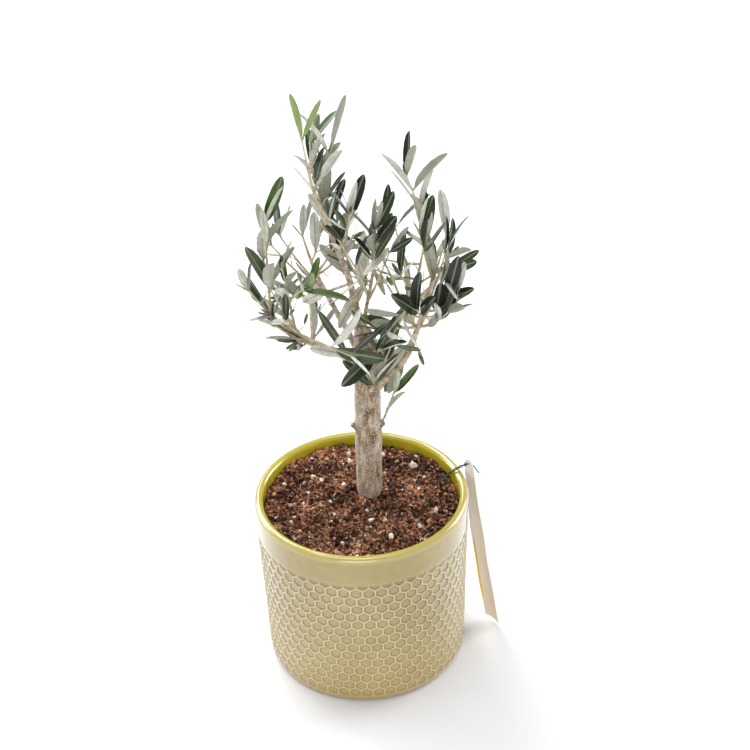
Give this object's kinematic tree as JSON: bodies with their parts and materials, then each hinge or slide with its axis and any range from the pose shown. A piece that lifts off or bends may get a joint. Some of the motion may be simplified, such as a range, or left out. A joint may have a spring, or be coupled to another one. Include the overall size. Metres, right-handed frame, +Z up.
{
  "type": "potted olive tree",
  "caption": "Young olive tree with a short trunk, forked boughs and sprays of narrow leaves, in a round glazed pot with a honeycomb relief.",
  "frame": {"origin": "middle of the pot's flat underside, on the surface that it stands on", "axes": "+Z up, +Y from the front of the plant to its back, +X to the right as seen from the front"},
  "size_m": [0.1617, 0.1544, 0.4083],
  "materials": {
    "glaze": "glossy khaki glaze, yellow-green inside",
    "soil": "loose moist peat with white perlite grains",
    "bark": "matt grey-beige bark with pale specks",
    "leaves": "leathery leaves, dark green above, silvery below",
    "wire": "satin dark green covering",
    "card": "matt off-white card with a thin yellow edge"
  },
  "bodies": {
    "root": {"pot": "glaze", "soil": "soil", "trunk": "bark", "leader_bough": "bark", "left_bough": "bark", "right_bough": "bark", "middle_bough": "bark", "back_left_bough": "bark", "back_right_bough": "bark", "tag_wire": "wire", "hang_tag": "card", "leader_spray": "leaves", "left_spray": "leaves", "right_spray": "leaves", "middle_spray": "leaves", "back_left_spray": "leaves", "back_right_spray": "leaves", "fork_spray": "leaves", "collar_spray": "leaves", "sprout_spray": "leaves"}
  },
  "joints": []
}
